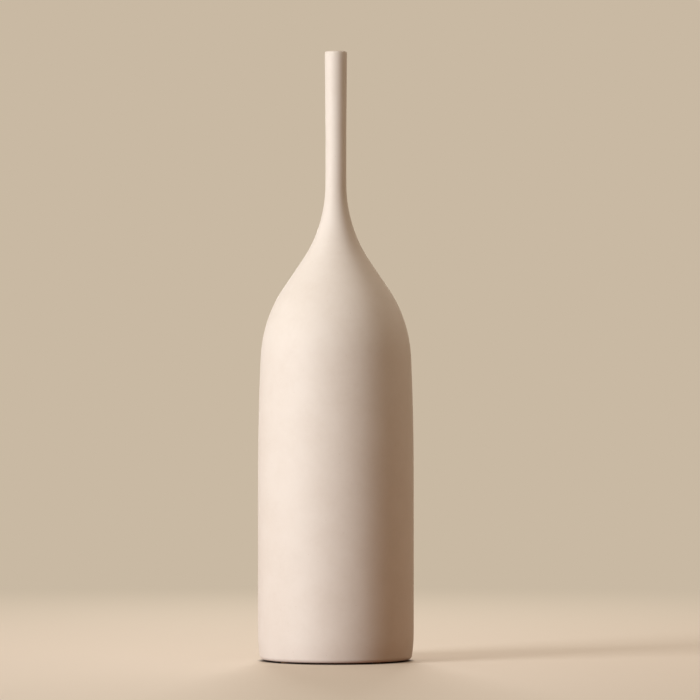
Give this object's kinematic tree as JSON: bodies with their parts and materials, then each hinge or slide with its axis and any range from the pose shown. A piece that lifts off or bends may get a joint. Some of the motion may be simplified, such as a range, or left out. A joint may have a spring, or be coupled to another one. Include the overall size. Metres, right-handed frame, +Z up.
{
  "type": "bottle vase",
  "caption": "Tall round ceramic bottle vase with a straight-sided body, a sloping shoulder and a long narrow open neck, standing on small felt dots.",
  "frame": {"origin": "on the vase's axis, in the plane of the table under the felt dots", "axes": "+Z up along the axis of the round body, -Y towards the front, +X to the right seen from the front"},
  "size_m": [0.1202, 0.1202, 0.47],
  "materials": {
    "fired_clay": "matte cream stoneware glaze",
    "felt": "pressed light brown felt"
  },
  "bodies": {
    "root": {"vase_body": "fired_clay", "felt_dot_front_left": "felt", "felt_dot_front_right": "felt", "felt_dot_rear_left": "felt", "felt_dot_rear_right": "felt"}
  },
  "joints": []
}
